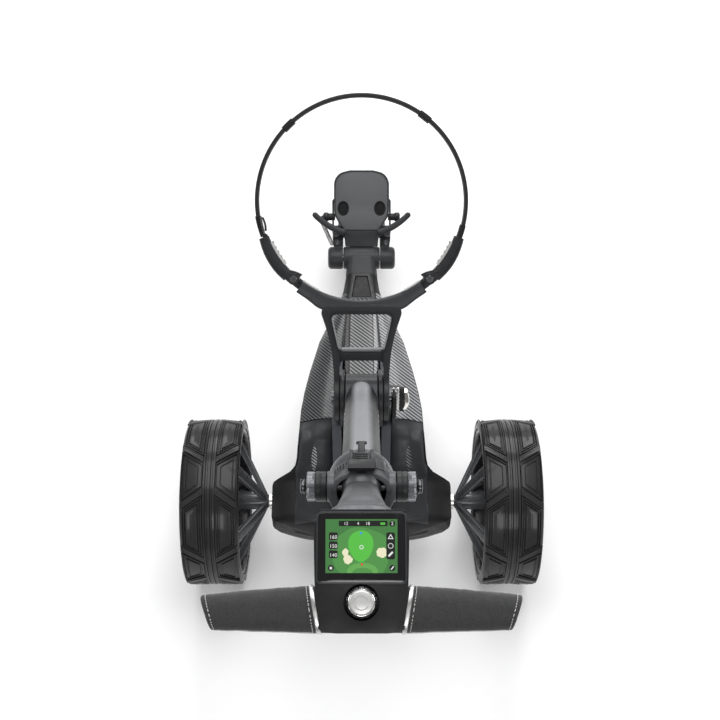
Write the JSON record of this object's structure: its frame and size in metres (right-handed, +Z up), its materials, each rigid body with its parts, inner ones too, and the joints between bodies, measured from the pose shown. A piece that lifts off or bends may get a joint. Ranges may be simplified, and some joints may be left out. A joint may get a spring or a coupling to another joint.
{
  "type": "electric golf trolley",
  "caption": "Three-wheeled powered golf trolley with a folding shaft, bag cradle and strap, screen console with push dial and leather-covered handlebar.",
  "frame": {"origin": "on the ground under the middle of the overall length", "axes": "+Y the way it travels (front wheel end), +X to the right seen from behind, +Z up"},
  "size_m": [0.584, 1.1509, 0.9053],
  "materials": {
    "shell_plastic": "satin, fine grain",
    "carbon_look": "diagonal carbon-look ribs",
    "frame_plastic": "satin, glass filled",
    "frame_metal": "satin powder coat",
    "tube_metal": "satin graphite",
    "steel": "brushed",
    "motor_metal": "satin",
    "battery_plastic": "fine grain",
    "tyre_rubber": "moulded tread, low sheen",
    "rim_plastic": "satin",
    "button_plastic": "satin",
    "clear_plastic": "clear smoked",
    "latch_chrome": "polished",
    "dial_silver": "spun",
    "pad_plastic": "satin",
    "inset_rubber": "matt",
    "strap_rubber": "satin",
    "grip_leather": "fine grain, stitched",
    "screen_glass": "gloss over a lit display"
  },
  "bodies": {
    "chassis": {"chassis_tray": "shell_plastic", "bottom_cover": "shell_plastic", "spine_beam": "frame_plastic", "spine_strip": "carbon_look", "tower_wall_left": "frame_plastic", "tower_wall_right": "frame_plastic", "deck_panel_left": "carbon_look", "deck_panel_right": "carbon_look", "drive_motor": "motor_metal", "gearbox": "motor_metal", "axle_bearing_left": "steel", "axle_bearing_right": "steel", "main_pivot_pin": "steel", "neck_barrel": "shell_plastic", "front_pivot_pin": "steel", "latch_base": "frame_metal", "battery_shelf": "shell_plastic"},
    "battery": {"battery_pack": "battery_plastic"},
    "lock_latch": {"latch_lever": "latch_chrome"},
    "release_button": {"front_button": "button_plastic"},
    "left_wheel": {"tyre_left": "tyre_rubber", "rim_left": "rim_plastic", "half_axle_left": "steel"},
    "right_wheel": {"tyre_right": "tyre_rubber", "rim_right": "rim_plastic", "half_axle_right": "steel"},
    "front_carrier": {"front_fork_left": "shell_plastic", "front_fork_right": "shell_plastic", "front_axle": "steel", "front_bracket": "shell_plastic", "bag_plate": "shell_plastic"},
    "front_wheel": {"front_tyre": "tyre_rubber", "front_rim": "rim_plastic"},
    "left_lower_arm": {"lower_arm_left": "shell_plastic"},
    "right_lower_arm": {"lower_arm_right": "shell_plastic"},
    "shaft": {"tube_socket": "frame_metal", "main_tube": "tube_metal", "handle_collar": "frame_metal", "handle_pin": "steel"},
    "left_knob": {"clamp_knob_left": "button_plastic", "clear_ring_left": "clear_plastic"},
    "right_knob": {"clamp_knob_right": "button_plastic", "clear_ring_right": "clear_plastic"},
    "clip": {"clip_lever": "button_plastic"},
    "cradle": {"cradle_frame": "frame_plastic", "bag_strap": "strap_rubber"},
    "left_pad": {"swing_pad_left": "pad_plastic", "pad_rubber_left": "inset_rubber"},
    "right_pad": {"swing_pad_right": "pad_plastic", "pad_rubber_right": "inset_rubber"},
    "handle": {"handle_neck": "shell_plastic", "console_case": "shell_plastic", "display_glass": "screen_glass", "grip_core": "frame_metal", "grip_left": "grip_leather", "grip_right": "grip_leather"},
    "cover": {"port_cover": "shell_plastic"},
    "dial_button": {"dial_stem": "button_plastic"},
    "dial": {"dial_ring": "button_plastic", "dial_cap": "dial_silver"}
  },
  "joints": [
    {"name": "left_wheel_spin", "type": "hinge", "parent": "chassis", "child": "left_wheel", "pos_m": [-0.245, -0.1205, 0.14], "axis": [1, 0, 0], "continuous": true},
    {"name": "right_wheel_spin", "type": "hinge", "parent": "chassis", "child": "right_wheel", "pos_m": [0.245, -0.1205, 0.14], "axis": [1, 0, 0], "continuous": true},
    {"name": "front_fold", "type": "hinge", "parent": "chassis", "child": "front_carrier", "pos_m": [0, 0.3755, 0.15], "axis": [1, 0, 0], "range_deg": [-60, 0]},
    {"name": "front_wheel_spin", "type": "hinge", "parent": "front_carrier", "child": "front_wheel", "pos_m": [0, 0.4805, 0.095], "axis": [1, 0, 0], "continuous": true},
    {"name": "main_fold", "type": "hinge", "parent": "chassis", "child": "shaft", "pos_m": [0, -0.105, 0.485], "axis": [1, 0, 0], "range_deg": [-108, 0]},
    {"name": "cradle_fold", "type": "hinge", "parent": "chassis", "child": "cradle", "pos_m": [0, -0.105, 0.485], "axis": [1, 0, 0], "range_deg": [-59.6, 0]},
    {"name": "handle_tilt", "type": "hinge", "parent": "shaft", "child": "handle", "pos_m": [0, -0.40152, 0.82694], "axis": [1, 0, 0], "range_deg": [-20, 15]},
    {"name": "left_knob_turn", "type": "hinge", "parent": "shaft", "child": "left_knob", "pos_m": [-0.045, -0.40152, 0.82694], "axis": [1, 0, 0], "continuous": true},
    {"name": "right_knob_turn", "type": "hinge", "parent": "shaft", "child": "right_knob", "pos_m": [0.045, -0.40152, 0.82694], "axis": [1, 0, 0], "continuous": true},
    {"name": "clip_lift", "type": "hinge", "parent": "shaft", "child": "clip", "pos_m": [0, -0.35361, 0.83275], "axis": [1, 0, 0], "range_deg": [-60, 0]},
    {"name": "latch_open", "type": "hinge", "parent": "chassis", "child": "lock_latch", "pos_m": [0, -0.109, 0.495], "axis": [1, 0, 0], "range_deg": [-75, 0]},
    {"name": "battery_slide", "type": "slide", "parent": "chassis", "child": "battery", "axis": [0, -1, 0], "range_m": [0, 0.18]},
    {"name": "release_press", "type": "slide", "parent": "chassis", "child": "release_button", "axis": [0, -0.2284, -0.9736], "range_m": [0, 0.003], "stiffness_N_per_m": 400},
    {"name": "left_arm_swing", "type": "hinge", "parent": "front_carrier", "child": "left_lower_arm", "pos_m": [-0.0475, 0.40937, 0.18085], "axis": [0, -0.592, 0.8059], "range_deg": [-15, 15]},
    {"name": "right_arm_swing", "type": "hinge", "parent": "front_carrier", "child": "right_lower_arm", "pos_m": [0.0475, 0.40937, 0.18085], "axis": [0, -0.592, 0.8059], "range_deg": [-15, 15]},
    {"name": "left_pad_swing", "type": "hinge", "parent": "cradle", "child": "left_pad", "pos_m": [-0.09542, 0.00558, 0.63315], "axis": [0, -0.592, 0.8059], "range_deg": [-5, 20], "deforming": ["bag_strap"]},
    {"name": "right_pad_swing", "type": "hinge", "parent": "cradle", "child": "right_pad", "pos_m": [0.09542, 0.00558, 0.63315], "axis": [0, -0.592, 0.8059], "range_deg": [-20, 5], "deforming": ["bag_strap"]},
    {"name": "dial_push", "type": "slide", "parent": "handle", "child": "dial_button", "axis": [0, 0.4226, -0.9063], "range_m": [0, 0.0015], "stiffness_N_per_m": 900},
    {"name": "dial_turn", "type": "hinge", "parent": "dial_button", "child": "dial", "pos_m": [0, -0.54559, 0.85906], "axis": [0, -0.4226, 0.9063], "continuous": true},
    {"name": "port_cover_open", "type": "hinge", "parent": "handle", "child": "cover", "pos_m": [0, -0.56849, 0.83956], "axis": [1, 0, 0], "range_deg": [-85, 0]}
  ],
  "couplings": [
    {"joint": "cradle_fold", "follows": "main_fold", "ratio": 0.55}
  ]
}
